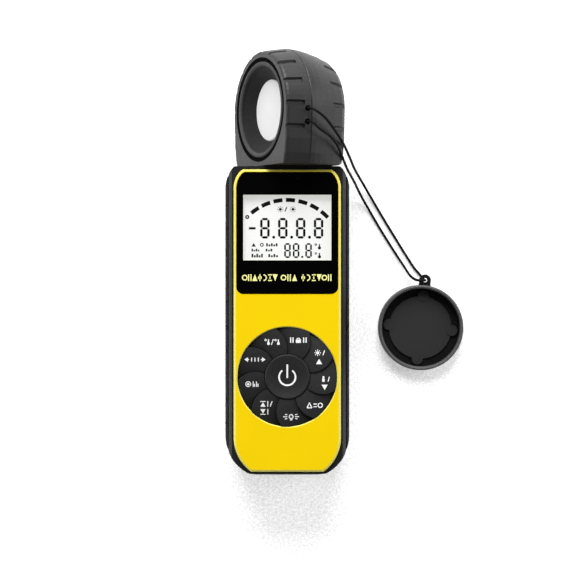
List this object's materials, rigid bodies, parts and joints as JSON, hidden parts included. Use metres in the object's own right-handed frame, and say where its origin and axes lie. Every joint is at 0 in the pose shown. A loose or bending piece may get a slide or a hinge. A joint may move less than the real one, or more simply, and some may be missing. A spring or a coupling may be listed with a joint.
{
  "type": "handheld light meter",
  "caption": "Handheld light meter with a turning drum-shaped sensor head, white diffuser, display, petal keypad, side grips and a tethered lens cap.",
  "frame": {"origin": "centre of the flat back of the case, on the surface it lies on", "axes": "+X to the right seen from the front, +Y along the case towards the sensor head, +Z out of the display"},
  "size_m": [0.1029, 0.1796, 0.0557],
  "materials": {
    "dark_shell": "fine matt moulded plastic",
    "yellow_shell": "satin moulded plastic",
    "grip_rubber": "matt soft grip",
    "black_gloss": "gloss",
    "clear_window": "clear acrylic",
    "lcd_white": "reflective display glass",
    "zebra_rubber": "elastomer",
    "circuit_green": "solder mask",
    "black_plastic": "matt",
    "cream_plastic": "matt",
    "key_rubber": "satin silicone",
    "spring_steel": "plated",
    "battery_wrap": "printed sleeve",
    "black_cord": "braided",
    "head_plastic": "satin moulded plastic",
    "well_plastic": "matt",
    "diffuser_white": "opal",
    "filter_green": "optical filter",
    "cap_plastic": "satin moulded plastic",
    "cap_disc": "matt"
  },
  "bodies": {
    "casing": {"rear_shell": "dark_shell", "front_shell": "yellow_shell", "side_grip_left": "grip_rubber", "side_grip_right": "grip_rubber", "display_bezel": "black_gloss", "lcd_window": "clear_window", "lcd_panel": "lcd_white", "lcd_backlight": "lcd_white", "zebra_strips": "zebra_rubber", "main_board": "circuit_green", "board_chips": "black_plastic", "buzzer": "black_plastic", "thermistor": "black_plastic", "lead_socket": "cream_plastic", "keypad_mat": "key_rubber", "dome_switches": "spring_steel", "battery_cells": "battery_wrap", "battery_springs": "spring_steel", "battery_plates": "spring_steel", "battery_cover": "dark_shell", "battery_cover_screw": "spring_steel", "case_screws": "spring_steel", "swivel_bush": "black_plastic", "swivel_washer": "spring_steel", "lanyard_cord": "black_cord"},
    "head": {"head_front_shell": "head_plastic", "head_rear_shell": "head_plastic", "trim_ring": "black_gloss", "light_well": "well_plastic", "diffuser": "diffuser_white", "filter_holder": "black_plastic", "filter_glass": "filter_green", "photodiode": "black_plastic", "sensor_board": "circuit_green", "head_screws": "spring_steel", "swivel_neck": "black_plastic", "neck_clip": "spring_steel", "head_lead": "black_cord"},
    "power_key": {"power_key": "key_rubber"},
    "unit_key": {"unit_key": "key_rubber"},
    "hold_key": {"hold_key": "key_rubber"},
    "up_key": {"up_key": "key_rubber"},
    "down_key": {"down_key": "key_rubber"},
    "relative_key": {"relative_key": "key_rubber"},
    "backlight_key": {"backlight_key": "key_rubber"},
    "extremes_key": {"extremes_key": "key_rubber"},
    "record_key": {"record_key": "key_rubber"},
    "range_key": {"range_key": "key_rubber"},
    "cap": {"cap_shell": "cap_plastic", "cap_insert": "cap_disc"}
  },
  "joints": [
    {"name": "head_turn", "type": "hinge", "parent": "casing", "child": "head", "pos_m": [0, 0.0653, 0.0274], "axis": [0, 1, 0], "range_deg": [-73, 197], "deforming": ["lanyard_cord"]},
    {"name": "power_press", "type": "slide", "parent": "casing", "child": "power_key", "axis": [0, 0, -1], "range_m": [0, 0.0008], "stiffness_N_per_m": 400},
    {"name": "unit_press", "type": "slide", "parent": "casing", "child": "unit_key", "axis": [0, 0, -1], "range_m": [0, 0.0008], "stiffness_N_per_m": 400},
    {"name": "hold_press", "type": "slide", "parent": "casing", "child": "hold_key", "axis": [0, 0, -1], "range_m": [0, 0.0008], "stiffness_N_per_m": 400},
    {"name": "up_press", "type": "slide", "parent": "casing", "child": "up_key", "axis": [0, 0, -1], "range_m": [0, 0.0008], "stiffness_N_per_m": 400},
    {"name": "down_press", "type": "slide", "parent": "casing", "child": "down_key", "axis": [0, 0, -1], "range_m": [0, 0.0008], "stiffness_N_per_m": 400},
    {"name": "relative_press", "type": "slide", "parent": "casing", "child": "relative_key", "axis": [0, 0, -1], "range_m": [0, 0.0008], "stiffness_N_per_m": 400},
    {"name": "backlight_press", "type": "slide", "parent": "casing", "child": "backlight_key", "axis": [0, 0, -1], "range_m": [0, 0.0008], "stiffness_N_per_m": 400},
    {"name": "extremes_press", "type": "slide", "parent": "casing", "child": "extremes_key", "axis": [0, 0, -1], "range_m": [0, 0.0008], "stiffness_N_per_m": 400},
    {"name": "record_press", "type": "slide", "parent": "casing", "child": "record_key", "axis": [0, 0, -1], "range_m": [0, 0.0008], "stiffness_N_per_m": 400},
    {"name": "range_press", "type": "slide", "parent": "casing", "child": "range_key", "axis": [0, 0, -1], "range_m": [0, 0.0008], "stiffness_N_per_m": 400},
    {"name": "cap_swing", "type": "hinge", "parent": "casing", "child": "cap", "pos_m": [0.05998, 0.0177, 0], "axis": [0, 0, 1], "range_deg": [-20, 20]}
  ]
}
